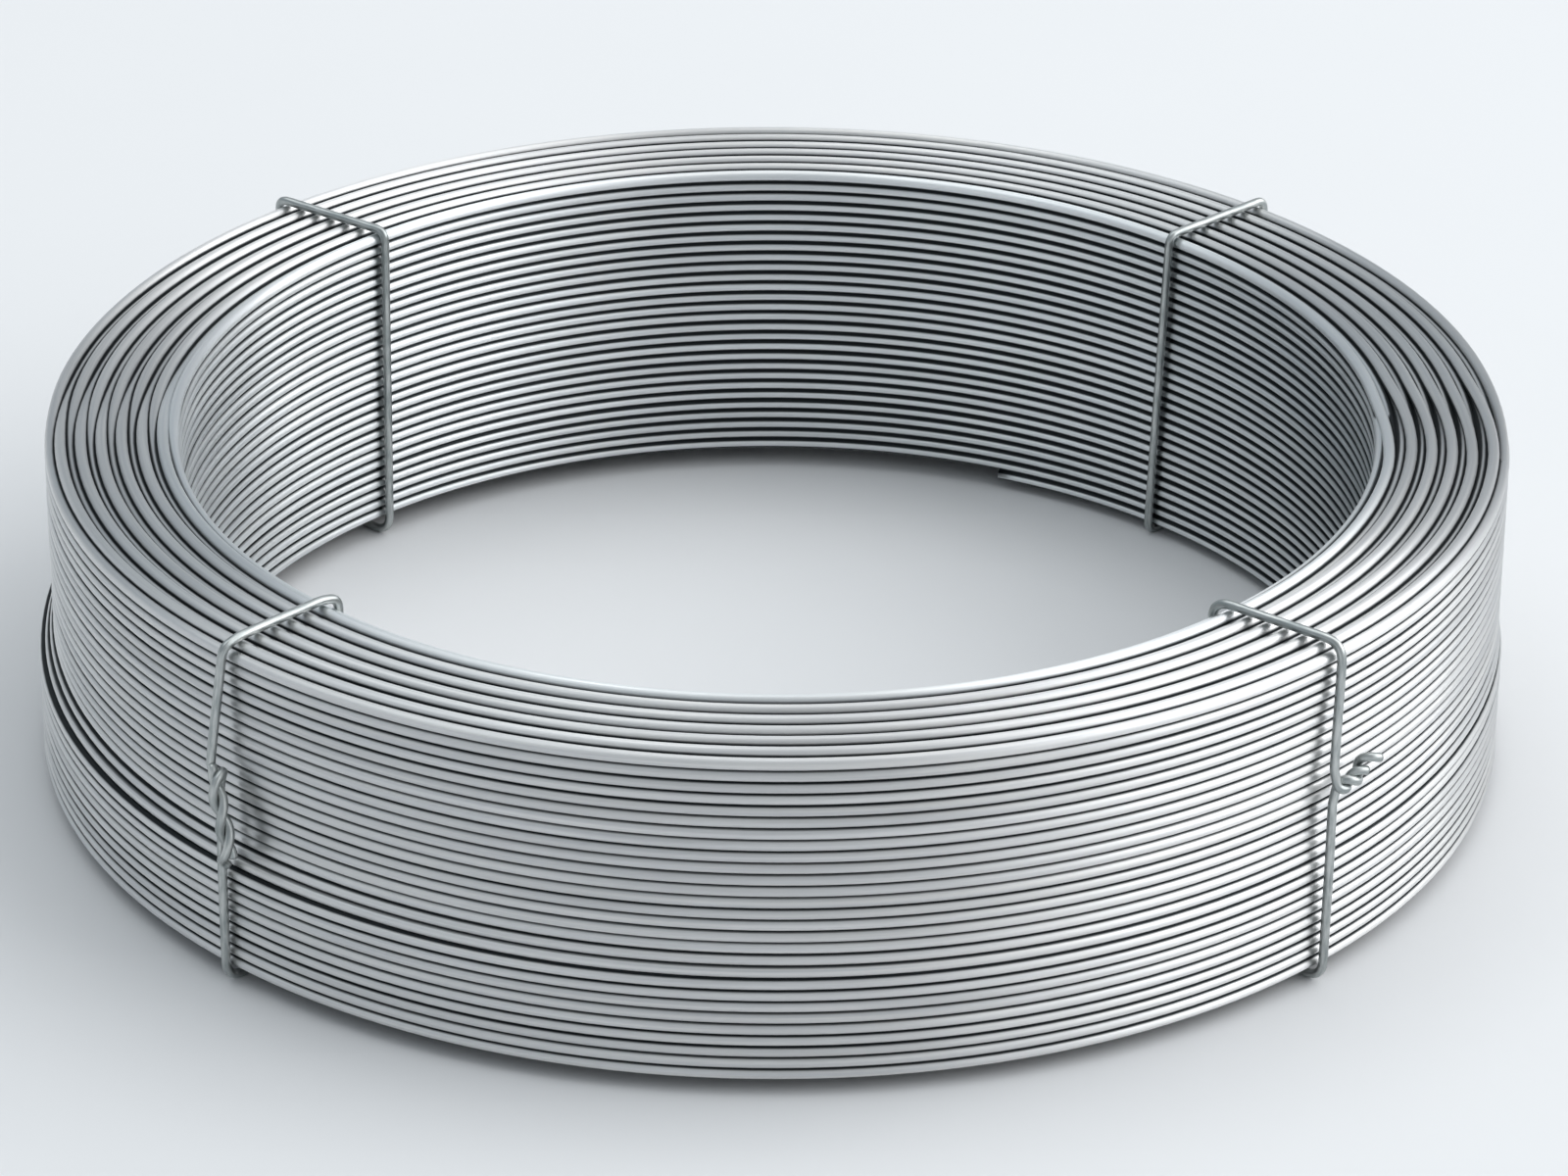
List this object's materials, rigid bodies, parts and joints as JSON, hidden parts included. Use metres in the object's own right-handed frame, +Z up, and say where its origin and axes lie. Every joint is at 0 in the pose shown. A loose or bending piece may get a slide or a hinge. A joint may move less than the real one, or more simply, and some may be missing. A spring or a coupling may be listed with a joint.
{
  "type": "coil of steel wire",
  "caption": "Compact ring of bright drawn steel wire wound in nested layers, lying flat and bound round its section with hand-twisted wire ties.",
  "frame": {"origin": "on the floor, on the axis of the coil's eye", "axes": "+Z up along the axis of the eye; +X to the right and -Y towards the viewer, with the ties near the diagonals"},
  "size_m": [0.4055, 0.4055, 0.0998],
  "materials": {
    "drawn_wire": "bright drawn, faint lines along the wire",
    "tie_wire": "softer and duller than the coiled wire"
  },
  "bodies": {
    "root": {"wire_coil": "drawn_wire", "tie_front_left": "tie_wire", "tie_front_right": "tie_wire", "tie_back_left": "tie_wire", "tie_back_right": "tie_wire"}
  },
  "joints": []
}
